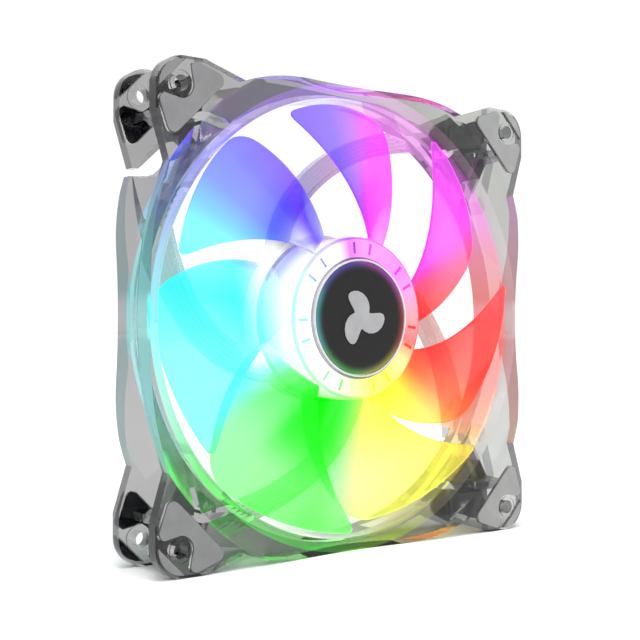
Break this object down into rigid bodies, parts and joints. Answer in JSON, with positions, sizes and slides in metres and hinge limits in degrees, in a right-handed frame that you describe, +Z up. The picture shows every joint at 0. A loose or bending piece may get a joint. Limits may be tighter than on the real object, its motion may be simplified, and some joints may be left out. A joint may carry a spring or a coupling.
{
  "type": "case fan",
  "caption": "Square translucent computer case fan with a hub-lit impeller, rubber corner pads and screw ears on both faces.",
  "frame": {"origin": "centre of the fan: on the rotor's axis, midway between the front and rear pad faces", "axes": "+Z up as the fan stands, +X to the right seen from the intake side, +Y along the rotor's axis from the open intake side to the side with the struts"},
  "size_m": [0.1396, 0.025, 0.1396],
  "materials": {
    "smoked_clear": "polished smoke-grey clear polycarbonate",
    "frosted_clear": "frosted clear polycarbonate, lit from the hub",
    "pad_rubber": "matt grey silicone rubber",
    "dark_rubber": "matt near-black silicone rubber",
    "badge": "satin black printed disc",
    "trim": "pale satin ring",
    "emblem": "grey raised mark",
    "steel": "drawn steel",
    "magnet": "dark sintered ferrite",
    "brass": "turned brass",
    "bronze": "porous sintered bronze",
    "lamination": "stacked electrical steel",
    "copper": "enamelled copper winding",
    "black_plastic": "moulded black plastic",
    "white_plastic": "moulded white nylon",
    "board": "white solder mask",
    "ceramic": "glazed ceramic",
    "label": "satin silver film with no print",
    "lamp_1": "lens of one lit lamp of the hub ring",
    "lamp_2": "lens of one lit lamp of the hub ring",
    "lamp_3": "lens of one lit lamp of the hub ring",
    "lamp_4": "lens of one lit lamp of the hub ring",
    "lamp_5": "lens of one lit lamp of the hub ring",
    "lamp_6": "lens of one lit lamp of the hub ring",
    "lamp_7": "lens of one lit lamp of the hub ring",
    "lamp_8": "lens of one lit lamp of the hub ring"
  },
  "bodies": {
    "frame": {"frame": "smoked_clear", "front_pad_tl": "pad_rubber", "front_pad_tr": "pad_rubber", "front_pad_bl": "pad_rubber", "front_pad_br": "pad_rubber", "front_corner_pad_tl": "pad_rubber", "front_corner_pad_tr": "pad_rubber", "front_corner_pad_bl": "pad_rubber", "front_corner_pad_br": "pad_rubber", "rear_pad_tl": "dark_rubber", "rear_pad_tr": "dark_rubber", "rear_pad_bl": "dark_rubber", "rear_pad_br": "dark_rubber", "rear_corner_pad_tl": "dark_rubber", "rear_corner_pad_tr": "dark_rubber", "rear_corner_pad_bl": "dark_rubber", "rear_corner_pad_br": "dark_rubber", "bearing_tube": "brass", "sleeve_bearing": "bronze", "oil_seal": "black_plastic", "thrust_plate": "white_plastic", "bearing_cap": "black_plastic", "stator_core": "lamination", "front_insulator": "white_plastic", "rear_insulator": "white_plastic", "coil_1": "copper", "coil_2": "copper", "coil_3": "copper", "coil_4": "copper", "circuit_board": "board", "driver_chip": "black_plastic", "rotor_sensor": "black_plastic", "filter_capacitor": "ceramic", "lamp_1": "lamp_1", "lamp_2": "lamp_2", "lamp_3": "lamp_3", "lamp_4": "lamp_4", "lamp_5": "lamp_5", "lamp_6": "lamp_6", "lamp_7": "lamp_7", "lamp_8": "lamp_8", "rear_label": "label"},
    "rotor": {"impeller": "frosted_clear", "hub_badge": "badge", "badge_ring": "trim", "badge_emblem": "emblem", "rotor_yoke": "steel", "ring_magnet": "magnet", "shaft": "steel", "shaft_clip": "steel"}
  },
  "joints": [
    {"name": "rotor_spin", "type": "hinge", "parent": "frame", "child": "rotor", "pos_m": [0, 0, 0], "axis": [0, -1, 0], "continuous": true}
  ]
}
